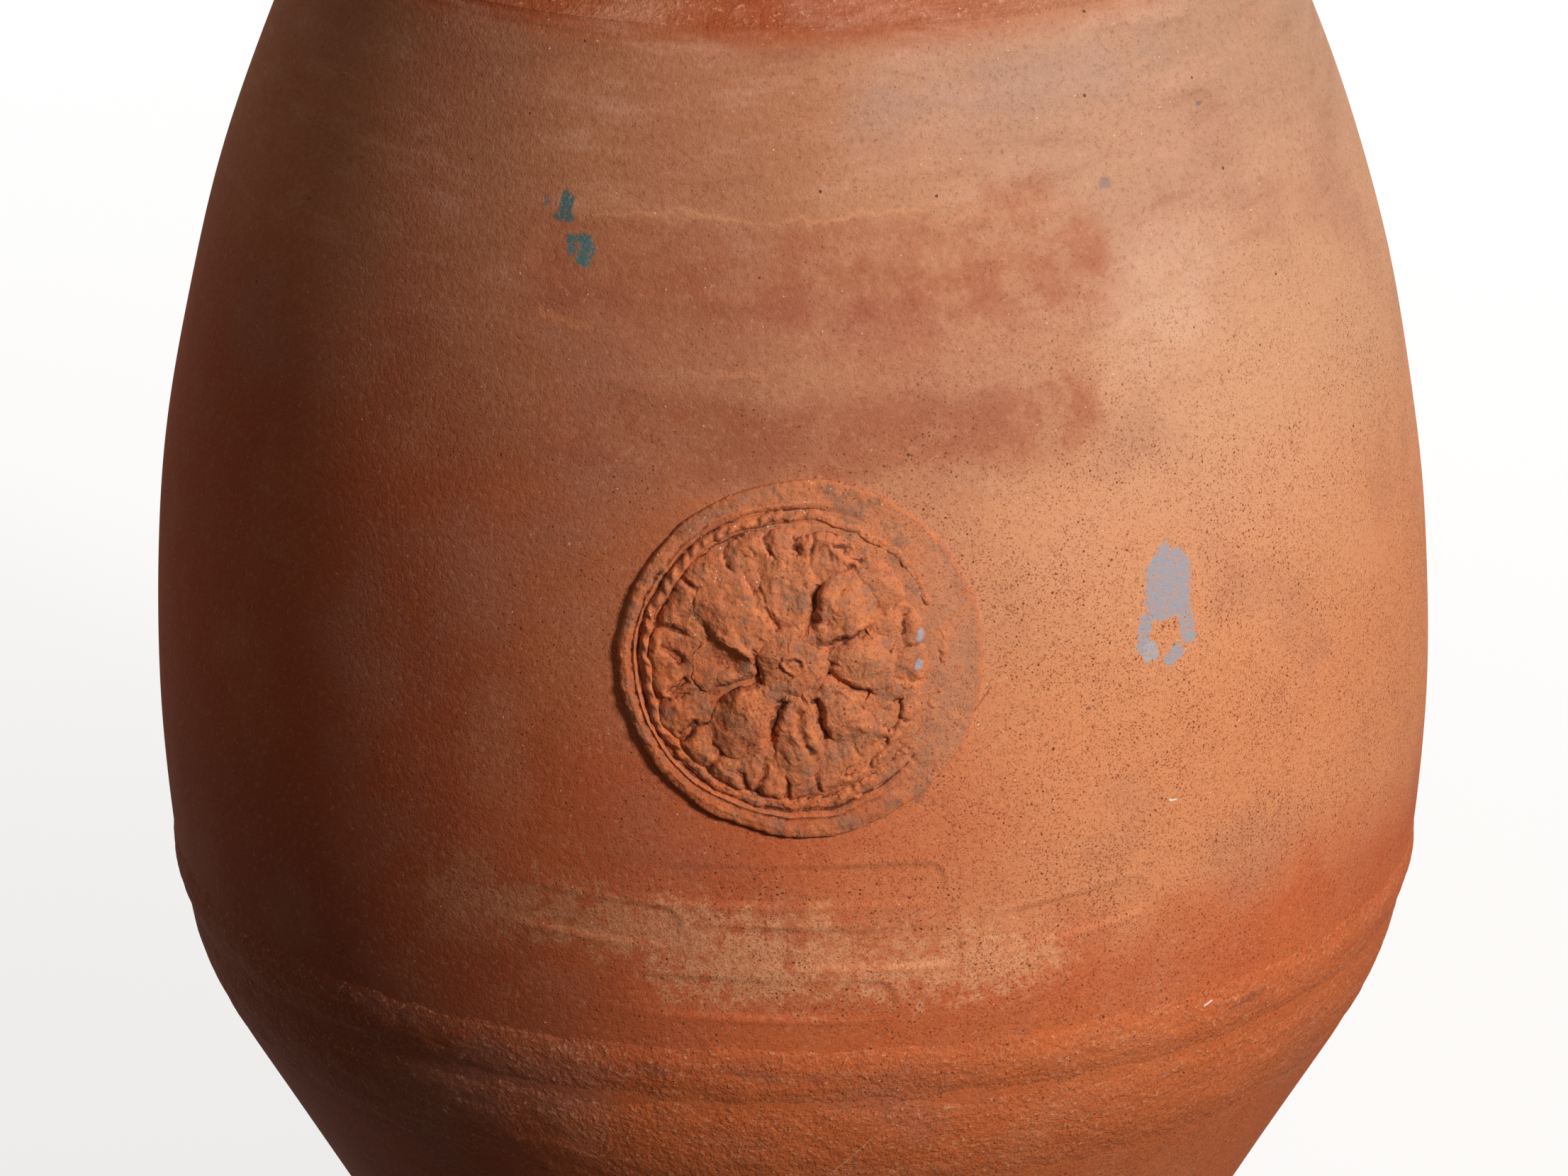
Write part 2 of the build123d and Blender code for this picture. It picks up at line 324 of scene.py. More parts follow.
def stroke(tree, place, across, height, length, width, tilt=0, soft=0.6):
    """1 within a stroke of half a length and half a width in mm on the front of the jar, else 0."""
    lean = math.radians(tilt)
    inputs = {0: place, 1: (across * mm, 0, height * mm)}
    offset = add_node(tree, "ShaderNodeVectorMath", inputs, operation="SUBTRACT").outputs[0]
    inputs = {0: offset, 1: (math.cos(lean), 0, math.sin(lean))}
    along = add_node(tree, "ShaderNodeVectorMath", inputs, operation="DOT_PRODUCT").outputs["Value"]
    inputs = {0: offset, 1: (-math.sin(lean), 0, math.cos(lean))}
    aside = add_node(tree, "ShaderNodeVectorMath", inputs, operation="DOT_PRODUCT").outputs["Value"]
    beyond = summed(tree, "SUBTRACT", summed(tree, "ABSOLUTE", along), length * mm)
    beyond = summed(tree, "MAXIMUM", beyond, 0.0)
    square = summed(tree, "MULTIPLY_ADD", beyond, beyond, product(tree, aside, aside))
    return eased(tree, summed(tree, "SQRT", square), (width + soft) * mm, (width - soft) * mm)


def matt_clay(tree, colour, relief_height, roughness=0.85, bump=1.0):
    """The shader for fired clay: matt, and rough to the touch. The height is in mm."""
    bumped = add_node(tree, "ShaderNodeBump", {"Height": relief_height, "Distance": mm, "Strength": bump})
    shader = add_node(
        tree,
        "ShaderNodeBsdfPrincipled",
        {"Base Color": colour, "Roughness": roughness, "Normal": bumped.outputs[0], "IOR": 1.45},
    )
    shader.inputs["Specular IOR Level"].default_value = 0.25
    output = add_node(tree, "ShaderNodeOutputMaterial")
    tree.links.new(shader.outputs[0], output.inputs[0])


def fired_body(tree, place):
    """The clay's own colour by its place on the jar, with painted shade darkening its left side and its lower
    left.
    """
    plain = coordinates(tree, place)[2]
    split = coordinates(tree, drifted(tree, place, 70 * mm, 38 * mm))
    across, height = split[0], split[2]
    base = tinted(tree, hex_colour("#CC6633"), "#C86236", eased(tree, height, 268 * mm, 318 * mm))
    base = tinted(tree, base, "#C4744A", eased(tree, height, 405 * mm, 470 * mm))
    base = tinted(tree, base, "#B67855", eased(tree, height, 522 * mm, 552 * mm))
    # Painted shade and redder clay: the left side, away from the key lamp, is darkened towards a deep red.
    redder_shaded_left = product(
        tree,
        eased(tree, across, 0.0, -170 * mm),
        eased(tree, height, 660 * mm, 520 * mm, 0.30, 0.9),
    )
    base = tinted(tree, base, "#9C4826", redder_shaded_left)
    right = eased(tree, across, -20 * mm, 130 * mm)
    low_right = product(tree, right, eased(tree, height, 312 * mm, 366 * mm, 0.04, 0.78))
    base = tinted(tree, base, "#DE9464", low_right)
    mid_right = product(tree, right, eased(tree, height, 430 * mm, 580 * mm, 0.0, 0.7))
    base = tinted(tree, base, "#CC9C7A", mid_right)
    high_right = product(tree, right, eased(tree, height, 560 * mm, 690 * mm, 0.0, 0.75))
    base = tinted(tree, base, "#AC846C", high_right)
    neck_foot = product(
        tree, eased(tree, plain, 703 * mm, 717 * mm), eased(tree, right, 0.0, 1.0, 0.95, 0.47)
    )
    base = tinted(tree, base, "#A8502A", neck_foot)
    # Painted shade: the lower left, which faces down and away from the key lamp, is darkened nearly to
    # brown-black.
    painted_shade_low_left = product(
        tree,
        eased(tree, across, -50 * mm, -200 * mm),
        eased(tree, plain, 440 * mm, 240 * mm, 0.0, 0.75),
    )
    base = tinted(tree, base, "#4E200E", painted_shade_low_left)
    clouds = grain(tree, place, 85 * mm, 3, 0.55, shift=1.3)
    base = tinted(tree, base, "#A5705A", eased(tree, clouds, 0.50, 0.70, 0.0, 0.35))
    base = tinted(tree, base, "#D89A70", eased(tree, clouds, 0.48, 0.30, 0.0, 0.15))
    wiped = grain(tree, place, 13 * mm, 5, 0.65, (0.28, 0.28, 1.3), 4.9)
    high = eased(tree, height, 540 * mm, 660 * mm, 0.15, 1.0)
    pale_wipes = product(tree, eased(tree, wiped, 0.50, 0.72, 0.0, 0.34), high)
    base = tinted(tree, base, "#D8A084", pale_wipes)
    dark_wipes = product(tree, eased(tree, wiped, 0.48, 0.28, 0.0, 0.30), high)
    base = tinted(tree, base, "#8A4C34", dark_wipes)
    zone = summed(
        tree,
        "MAXIMUM",
        stroke(tree, place, -62, 347, 78, 20, -5, 24),
        stroke(tree, place, 26, 332, 70, 20, 0, 24),
    )
    flakes = grain(tree, place, 8 * mm, 8, 0.80, shift=6.2)
    powder = grain(tree, place, 1.6 * mm, 2, 0.7, shift=2.2)
    soft_cover = eased(tree, summed(tree, "MULTIPLY_ADD", zone, 0.30, flakes), 0.58, 0.84)
    sharp_cover = eased(tree, summed(tree, "MULTIPLY_ADD", zone, 0.30, flakes), 0.715, 0.765)
    cover = blended(tree, sharp_cover, soft_cover, eased(tree, across, -110 * mm, 30 * mm, 0.2, 0.75))
    cover = product(tree, cover, eased(tree, zone, 0.0, 0.5, 0.0, 0.75))
    cover = product(tree, cover, eased(tree, powder, 0.38, 0.58, 0.55, 1.0))
    film = tinted(tree, hex_colour("#B0704A"), "#ECA878", eased(tree, across, -140 * mm, 0 * mm))
    return blended(tree, base, film, cover)


def gritted(tree, place, base, amount=1.0):
    """Brown mottling and irregular specks over a colour, and the relief that they give in mm."""
    mottle = grain(tree, place, 2.8 * mm, 4, 0.7, shift=2.9)
    split = coordinates(tree, place)
    patchy = grain(tree, place, 30 * mm, 2, shift=8.8)
    base = tinted(tree, base, "#8A4A30", eased(tree, mottle, 0.52, 0.75, 0.0, 0.50 * amount))
    base = tinted(tree, base, "#E2A880", eased(tree, mottle, 0.48, 0.26, 0.0, 0.28 * amount))
    small = grain(tree, place, 0.85 * mm, 2, 0.6, shift=0.7)
    near = drifted(tree, place, 1.2 * mm, 0.5 * mm, 2)
    denser = product(tree, eased(tree, split[0], -120 * mm, 160 * mm), 0.03)
    denser = summed(tree, "MULTIPLY_ADD", eased(tree, split[2], 560 * mm, 420 * mm), 0.02, denser)
    denser = summed(tree, "MULTIPLY_ADD", summed(tree, "SUBTRACT", patchy, 0.5), 0.12, denser)
    fewer = eased(tree, split[2], 520 * mm, 640 * mm, 1.0, 0.4)
    freckles = product(tree, eased(tree, summed(tree, "ADD", small, denser), 0.585, 0.70), fewer)
    base = tinted(tree, base, "#8C4226", product(tree, freckles, 0.8 * amount))
    kept = eased(tree, summed(tree, "MULTIPLY_ADD", denser, 3.0, patchy), 0.42, 0.62, 0.1, 1.0)
    kept = product(tree, kept, fewer)
    specky = product(tree, specks(tree, near, 2.3 * mm, 0.60 * mm, 0.85), kept)
    base = tinted(tree, base, "#703420", product(tree, specky, 0.9 * amount))
    pits = specks(tree, near, 12 * mm, 0.85 * mm, 0.5)
    base = tinted(tree, base, "#55291B", product(tree, pits, 0.8))
    pale = specks(tree, near, 4 * mm, 0.42 * mm, 0.5)
    base = tinted(tree, base, "#F6D8BC", product(tree, pale, 0.7))
    relief = summed(tree, "MULTIPLY_ADD", small, 0.22, product(tree, mottle, 0.55))
    relief = summed(tree, "MULTIPLY_ADD", specky, -0.18, relief)
    return base, summed(tree, "MULTIPLY_ADD", pits, -0.5, relief)


# What hands and use left on the front of the jar: worked clay, grey and teal paint, and small
# marks. Each is a stroke: middle across and up, half a length and half a width in mm, tilt,
# softness, cover and colour.
worked_rows = (
    (4, 623, 104, 20, 0, 7.0, 0.55, "#A85C3E"),
    (-22, 602, 68, 14, 0, 9.0, 0.50, "#A96248"),
    (66, 603, 56, 12, 0, 9.0, 0.40, "#A96248"),
    (12, 616, 104, 11, 0, 5.0, 0.28, "#9C5236"),
    (14, 580, 100, 12, 0, 9.0, 0.42, "#AC664A"),
    (10, 556, 100, 17, 1, 7.0, 0.55, "#A2563A"),
    (14, 558, 102, 11, 1, 5.0, 0.28, "#984E32"),
    (-20, 645, 70, 0.8, 1, 0.9, 0.45, "#DE9A6C"),
    (82, 642, 22, 0.7, -2, 0.9, 0.35, "#DE9A6C"),
    (-92, 601, 11, 1.4, -3, 1.2, 0.60, "#D08452"),
    (-30, 584, 18, 1.3, 3, 1.4, 0.45, "#D58C60"),
    (92, 648, 8, 8, 0, 5.0, 0.45, "#A85C3E"),
    (85, 690, 50, 14, 4, 12.0, 0.40, "#A8887C"),
    (150, 708, 32, 2, 0, 5.0, 0.45, "#D8AC90"),
    (155, 600, 4, 22, 80, 14.0, 0.40, "#D9B094"),
)
paint_marks = (
    (155.5, 484, 5, 9.5, 90, 1.2, 1.0, "#9F9AA0"),
    (153.5, 497, 3, 2.0, 90, 0.8, 1.0, "#9F9AA0"),
    (145.5, 465, 6, 2.6, 85, 0.8, 1.0, "#9F9AA0"),
    (148.5, 457, 1.5, 3.0, 90, 0.8, 1.0, "#AAA6AC"),
    (153.5, 471, 6, 1.4, 5, 0.8, 1.0, "#9F9AA0"),
    (163.5, 467, 8, 2.8, -80, 0.8, 1.0, "#9F9AA0"),
    (158.5, 453, 2, 2.8, 50, 0.8, 1.0, "#9F9AA0"),
    (165.5, 459, 1, 1.8, 0, 0.8, 1.0, "#9F9AA0"),
    (-93, 645, 2.0, 2.8, 80, 1.0, 0.9, "#35686A"),
    (-94, 640, 2.4, 1.6, 8, 1.0, 0.9, "#35686A"),
    (-101, 645, 1.0, 0.9, 70, 0.8, 0.8, "#35686A"),
    (-88, 632, 4.0, 1.6, 6, 1.0, 0.9, "#35686A"),
    (-85, 627, 2.4, 3.2, 70, 1.0, 0.9, "#3A7274"),
    (-91, 628, 1.0, 1.8, 80, 0.8, 0.8, "#3A7274"),
)
small_marks = (
    (168.7, 669, 0.3, 1.1, 0, 0.4, 0.8, "#7A6260"),
    (122.5, 437.5, 0.1, 0.8, 0, 0.3, 0.8, "#7A5058"),
    (55.5, 414, 8.5, 1.3, 57, 0.7, 0.75, "#98624F"),
    (159.3, 389, 1.6, 0.35, -15, 0.3, 0.9, "#F6E8E0"),
    (128, 648, 0.5, 2.4, 0, 1.0, 0.6, "#86706A"),
)


def marked(tree, place, base, marks, cover_share=1.0):
    """Lays marks over a colour on the front of the jar."""
    split = coordinates(tree, place)
    front = product(tree, eased(tree, split[1], 0.0, -60 * mm), cover_share)
    for across, height, length, width, tilt, soft, cover, colour in marks:
        share = stroke(tree, place, across, height, length, width, tilt, soft)
        share = product(tree, product(tree, share, cover), front)
        base = tinted(tree, base, colour, share)
    return base


# Wall clay: earthenware smoothed with a wet hand and weathered outdoors. It is matt, orange where
# the firing was hot and buff on the shoulder, with dark grit, pin holes, a pale lime bloom low down and
# painted shade at the left.
def wall_clay():
    material, tree, place = start_material("weathered_terracotta")
    outside = add_node(tree, "ShaderNodeAttribute", attribute_name="outside").outputs["Fac"]
    base = fired_body(tree, place)
    patches = eased(tree, grain(tree, place, 26 * mm, 5, 0.65, shift=3.7), 0.62, 0.42, 0.35, 1.0)
    ragged = drifted(tree, place, 22 * mm, 10 * mm, 5)
    base = marked(tree, ragged, base, worked_rows, product(tree, patches, outside))
    base, relief = gritted(tree, place, base)
    near = drifted(tree, place, 2.6 * mm, 1.6 * mm, 4)
    base = marked(tree, near, base, small_marks, outside)
    holes = eased(tree, grain(tree, place, 1.5 * mm, 4, 0.75, shift=5.5), 0.60, 0.54)
    torn = drifted(tree, place, 3.2 * mm, 2.6 * mm, 5)
    base = marked(tree, torn, base, paint_marks, product(tree, holes, outside))
    crack = ((65, 430, 28, 0.3, 54.5, 0.45, 0.65, "#7A3E26"),)
    base = marked(tree, drifted(tree, place, 8 * mm, 0.7 * mm), base, crack, outside)
    matt_clay(tree, base, relief)
    return material


wall_material = wall_clay()
row_height = 1.3 * mm
inner_rows = 8
fine_steps, coarse_steps = 720, 360
for number, ring in enumerate(rings):
    low, high = joints[number], joints[number + 1]
    shown = number > 2
    row_count = round((high - low) / (row_height if shown else 2 * row_height))
    outer_heights = np.linspace(low, high, row_count + 1)
    inner_heights = np.linspace(high, low, inner_rows + 1)
    outline = [(float(wall_radius(z)), z) for z in outer_heights]
    outline += [(float(wall_radius(z)) - wall_thickness, z) for z in inner_heights]
    piece = turned("clay_ring_%d" % (number + 1), outline, fine_steps if shown else coarse_steps)
    rows = places(piece)
    outside = np.hypot(rows[:, 0], rows[:, 1]) > wall_radius(rows[:, 2]) - wall_thickness / 2
    piece.data.attributes.new("outside", "FLOAT", "POINT").data.foreach_set("value", outside.astype(float))
    push_out(piece, shaped_wall)
    finish_piece(piece, ring, wall_material)

# The base: a slab of clay beaten flat, with a coil pressed round its edge to carry the wall.
slab_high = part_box("floor_slab")[1]
slab_radius = slab_high.x
bpy.ops.object.select_all(action="DESELECT")
slab_steps = 120
inset_count, inset_width = 9, 15 * mm
bpy.ops.mesh.primitive_cylinder_add(
    vertices=slab_steps,
    radius=slab_radius,
    depth=slab_high.z,
    location=(0, 0, slab_high.z / 2),
    end_fill_type="NGON",
)
slab = start_piece("beaten_slab")
bpy.ops.object.transform_apply(location=True)
bpy.ops.object.mode_set(mode="EDIT")
bpy.ops.mesh.select_mode(type="FACE")
bpy.ops.mesh.select_all(action="DESELECT")
bpy.ops.object.mode_set(mode="OBJECT")
for face in slab.data.polygons:
    face.select = face.normal.z > 0.9
bpy.ops.object.mode_set(mode="EDIT")
for step in range(inset_count):
    bpy.ops.mesh.inset(thickness=inset_width)
bpy.ops.mesh.poke()
bpy.ops.object.mode_set(mode="OBJECT")
rows = places(slab)
beaten = rows[:, 2] > slab_high.z / 2
dents = np.array([noise.fractal(Vector(row) / (40 * mm), 0.8, 2.0, 3) for row in rows])
inside_edge = np.hypot(rows[:, 0], rows[:, 1]) < slab_radius - 5 * mm
rows[:, 2] -= beaten * (0.6 * mm + 0.8 * mm * np.abs(dents)) * inside_edge
set_places(slab, rows)
finish_piece(slab, "floor_slab", wall_material, 40)

foot_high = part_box("foot_ring")[1]
foot_radius = foot_high.x
foot_edge_height = 19 * mm
foot_round = 4 * mm
corner = np.linspace(-math.pi / 2, 0, 7)
foot_outline = [(slab_radius, 0)]
foot_outline += [
    (foot_radius - foot_round * (1 - math.cos(turn)), foot_round * (1 + math.sin(turn))) for turn in corner
]
shoulder = np.linspace(0, math.pi / 2, 9)
foot_outline += [
    (
        wall_foot_radius + (foot_radius - wall_foot_radius) * math.cos(turn),
        foot_edge_height + (foot_high.z - foot_edge_height) * math.sin(turn),
    )
    for turn in shoulder
]
foot_outline.append((slab_radius, foot_high.z))
foot = turned("foot_coil", foot_outline, coarse_steps)
push_out(
    foot, lambda azimuth, radii, rows: (radii > slab_radius + mm) * hand_waves(azimuth, rows[:, 2]) * 0.8
)
finish_piece(foot, "foot_ring", wall_material)

# Bands: coils of coarse terracotta pressed over the joints and stroked round with a wet brush.
# They are granular, redder than the wall and streaked along their length, with soft edges and painted shade
# along their grooves.
band_depth = 3 * mm


def crumble(rows, size, depth, octaves=4, stretch=1.0):
    """Worn, sandy unevenness: noise of a size and depth in metres, stretched along the band."""
    scale = np.array([1 / stretch, 1 / stretch, 1]) / size
    return depth * np.array([noise.fractal(Vector(row), 0.7, 2.1, octaves) for row in rows * scale])


def band_outline(low, high, proud, feather, steps=36):
    """A soft-edged bulge over the wall, with its back sunk in the wall."""
    heights = np.linspace(low - feather, high + feather, steps)
    share = (heights - heights[0]) / (heights[-1] - heights[0])
    bulge = proud * np.sin(math.pi * share) ** 0.9
    front = [(float(wall_radius(z)) - 0.5 * mm + lift, z) for z, lift in zip(heights, bulge)]
    back = [(float(wall_radius(z)) - band_depth, z) for z in heights[::-6]]
    return front + back


def band_clay():
    material, tree, place = start_material("brushed_coarse_terracotta")
    base = fired_body(tree, place)
    streaks = grain(tree, place, 7 * mm, 4, 0.65, (0.16, 0.16, 1.8), 5.1)
    lumps = grain(tree, place, 2.4 * mm, 3, 0.6, shift=1.7)
    base = tinted(tree, base, "#DE9468", eased(tree, streaks, 0.52, 0.75, 0.0, 0.25))
    base = tinted(tree, base, "#8A4026", eased(tree, streaks, 0.48, 0.25, 0.0, 0.25))
    base = tinted(tree, base, "#E8AE84", eased(tree, lumps, 0.58, 0.70, 0.0, 0.50))
    # Painted shade, broken into streaks, along the top of the roll and the hip groove.
    groove_shade_streaks = grain(tree, place, 14 * mm, 4, 0.6, (0.3, 0.3, 1.5), 9.3)
    upper = stroke(tree, place, 0, 284, 200, 5, 0, 5)
    lower = stroke(tree, place, 0, 215, 240, 5, 0, 6)
    groove_shade_streaks = product(tree, summed(tree, "MAXIMUM", upper, lower), eased(tree, groove_shade_streaks, 0.48, 0.66))
    base = tinted(tree, base, "#74483C", product(tree, groove_shade_streaks, 0.6))
    base, relief = gritted(tree, place, base, 0.9)
    scratches = (
        (24.5, 239, 13, 0.3, 48.6, 0.35, 0.6, "#E3A47C"),
        (177, 288.5, 1.5, 0.4, 20, 0.3, 0.9, "#F6E8E0"),
    )
    base = marked(tree, drifted(tree, place, 8 * mm, 0.6 * mm), base, scratches)
    relief = summed(tree, "MULTIPLY_ADD", lumps, 0.9, relief)
    relief = summed(tree, "MULTIPLY_ADD", streaks, 0.15, relief)
    matt_clay(tree, base, relief)
    return material


band_material = band_clay()
bands = {"belly_fascia": ("broad_band", 1.8 * mm, 4 * mm), "belly_roll": ("rolled_band", 2.0 * mm, 5 * mm)}
for node, (name, proud, feather) in bands.items():
    low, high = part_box(node)[0].z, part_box(node)[1].z
    piece = turned(name, band_outline(low, high, proud, feather), fine_steps)
    rows = places(piece)
    rough = crumble(rows, 14 * mm, 0.5 * mm, 5, 1.5)
    push_out(piece, lambda azimuth, radii, rows: hand_waves(azimuth, rows[:, 2]) + rough)
    finish_piece(piece, node, band_material)

# Neck and rim: the neck is drawn in from the shoulder in a hollow curve whose foot is smoothed out
# onto the wall, and the rim is a thick coil rolled over it and flattened with a board. Band clay.
neck_low, neck_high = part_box("neck_collar")
rim_low, rim_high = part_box("rim_roll")
neck_foot_radius = neck_high.x
mouth_radius = 158 * mm
neck_radius = mouth_radius + 31 * mm
neck_hollow = 6 * mm
neck_heights = np.linspace(neck_low.z, neck_high.z, 24)
share = (neck_heights - neck_low.z) / (neck_high.z - neck_low.z)
curve = neck_foot_radius + share * (neck_radius - neck_foot_radius) - 4 * neck_hollow * share * (1 - share)
wall_edge = float(wall_radius(neck_low.z))
neck_seam = 5 * mm
neck_steps = 540
curve = curve + (wall_edge - neck_foot_radius) * np.exp(-(neck_heights - neck_low.z) / neck_seam)
wall_inside = wall_edge - wall_thickness
neck_outline = list(zip(curve, neck_heights))
neck_outline += [
    (mouth_radius + part * (wall_inside - mouth_radius), neck_high.z - part * (neck_high.z - neck_low.z))
    for part in np.linspace(0, 1, 8)
]
neck = turned("drawn_in_neck", neck_outline, neck_steps)
rough = crumble(places(neck), 18 * mm, 0.5 * mm, 4, 3.0)
rough *= smooth_step(neck_low.z, neck_low.z + 2 * neck_seam, places(neck)[:, 2])
push_out(neck, lambda azimuth, radii, rows: hand_waves(azimuth, rows[:, 2]) + rough)
finish_piece(neck, "neck_collar", band_material)

rim_middle = (rim_low.z + rim_high.z) / 2
rim_half = (rim_high.z - rim_low.z) / 2
rim_roll = rim_high.x - neck_radius
rim_inner_round = 13 * mm
rim_outer_round = 19 * mm
turns = np.linspace(-math.pi / 2, math.pi / 2, 30)
rim_outline = []
for turn in turns:
    start = neck_radius if turn < 0 else rim_high.x - rim_outer_round
    bulge = rim_roll if turn < 0 else rim_outer_round
    rim_outline.append((start + bulge * math.cos(turn) ** 0.85, rim_middle + rim_half * math.sin(turn)))
rim_outline += [
    (
        mouth_radius + rim_inner_round * (1 - math.sin(turn)),
        rim_high.z - rim_inner_round * (1 - math.cos(turn)),
    )
    for turn in np.linspace(0, math.pi / 2, 10)
]
rim_outline += [(mouth_radius, z) for z in np.linspace(rim_high.z - rim_inner_round, rim_low.z, 10)[1:]]
rim = turned("rolled_rim", rim_outline, neck_steps)
rows = places(rim)
rough = crumble(rows, 26 * mm, 0.8 * mm, 4, 2.0)
push_out(rim, lambda azimuth, radii, rows: hand_waves(azimuth, rows[:, 2]) + rough)
finish_piece(rim, "rim_roll", band_material)

# The medallion: a disc of finer clay pressed on the belly, its relief pressed from a worn mould
# and gone over by hand. Its pieces are modelled flat, then laid on the leaning wall.
medallion_height = 468 * mm
lean = math.asin((medallion_height - belly_height) / shoulder_arc)
disc_middle = np.array([0, -float(wall_radius(medallion_height)), medallion_height])
to_right, to_top, outward = np.array(
    [(1, 0, 0), (0, math.sin(lean), math.cos(lean)), (0, -math.cos(lean), math.sin(lean))]
)
rosette_middle = (-0.4, 0.4)


def laid_on_wall(flat):
    """Places across, up and off the wall, in mm about the disc's middle, as places on the jar."""
    spot = disc_middle + mm * (flat[:, :1] * to_right + flat[:, 1:2] * to_top)
    away = np.zeros(len(flat))
    for step in range(8):
        place = spot + away[:, None] * outward
        azimuth = np.arctan2(place[:, 0], -place[:, 1])
        surface = wall_radius(place[:, 2]) + hand_waves(azimuth, place[:, 2])
        away += surface + mm * flat[:, 2] - np.hypot(place[:, 0], place[:, 1])
    return spot + away[:, None] * outward


def crumbs(across, up, size, octaves=4, rough=0.8):
    """Crumbly unevenness of the pressed clay, whose lumps are about one size in mm."""
    spots = zip(across / size, up / size)
    return np.array([noise.fractal(Vector((x, y, size)), rough, 2.1, octaves) for x, y in spots])


def rough_patches(across, up, depth):
    """Crumbly places among smoother ones."""
    where = smooth_step(-0.15, 0.35, crumbs(across + 60, up, 13, 2))
    return depth * where * crumbs(across, up, 2.8, 2, 0.8)


def gone_over(across, up, strokes):
    """Ridges and furrows left by a finger or tool: points in mm, widths to the left and right, height."""
    lift = np.zeros_like(across)
    for points, left, right, height in strokes:
        nearest = np.full_like(across, 1e3)
        width = np.full_like(across, left)
        for (x0, y0), (x1, y1) in zip(points, points[1:]):
            share = ((across - x0) * (x1 - x0) + (up - y0) * (y1 - y0)) / ((x1 - x0) ** 2 + (y1 - y0) ** 2)
            share = np.clip(share, 0, 1)
            away = np.hypot(across - x0 - share * (x1 - x0), up - y0 - share * (y1 - y0))
            side = (x1 - x0) * (up - y0) - (y1 - y0) * (across - x0)
            width = np.where(away < nearest, np.where(side > 0, left, right), width)
            nearest = np.minimum(away, nearest)
        lift += height * np.exp(-((nearest / width) ** 2))
    return lift


def pressed_piece(name, reaches, steps, middle, lift_at, back=-1.5, reach_at=None, uneven=1.0, strokes=()):
    """A round piece of the relief: rows at its reaches in mm, lifted by lift_at and strokes in front."""
    outline = [(reach * mm, mm) for reach in reaches]
    outline += [(reaches[-1] * mm, -mm), ((reaches[0] + reaches[-1]) / 2 * mm, -mm), (reaches[0] * mm, -mm)]
    piece = turned(name, outline, steps, 0)
    rows = places(piece) / mm
    if reach_at is not None:
        rows[:, :2] *= reach_at(np.arctan2(rows[:, 1], rows[:, 0]))[:, None]
    front = rows[:, 2] > 0
    rows[:, 2] = back
    across, up = rows[front, :2].T
    aside = 1.5 * crumbs(across, up, 11, 4) * uneven
    along = 1.5 * crumbs(up + 40, across, 11, 4) * uneven
    furrows = gone_over(across + aside, up + along, strokes)
    rows[front, 2] = lift_at(across + aside, up + along) + furrows
    lift = rows[:, 2].copy()
    furrow_shade = np.zeros(len(lift))
    # Painted shade: the deepest furrows add to the hollow attribute, which the sprig clay turns dark.
    furrow_shade[front] = 0.07 * np.maximum(-furrows - 0.8, 0) * (1 + 0.8 * crumbs(across, up, 5, 3))
    rows[:, :2] += middle
    set_places(piece, laid_on_wall(rows))
    ends = np.zeros(len(piece.data.edges) * 2, int)
    piece.data.edges.foreach_get("vertices", ends)
    first, second = ends.reshape(-1, 2).T
    shared = np.maximum(np.bincount(first, minlength=len(lift)) + np.bincount(second, minlength=len(lift)), 1)
    level = lift.copy()
    for turn in range(12):
        level = np.bincount(first, level[second], len(lift)) + np.bincount(second, level[first], len(lift))
        level /= shared
    hollow = piece.data.attributes.new("hollow", "FLOAT", "POINT")
    hollow.data.foreach_set("value", np.where(front, np.clip(level - lift, -1, 1) + furrow_shade, 0))
    bpy.ops.object.mode_set(mode="EDIT")
    bpy.ops.mesh.select_all(action="SELECT")
    bpy.ops.mesh.remove_doubles(threshold=0.005 * mm)
    bpy.ops.mesh.normals_make_consistent(inside=False)
    bpy.ops.object.mode_set(mode="OBJECT")
    return piece
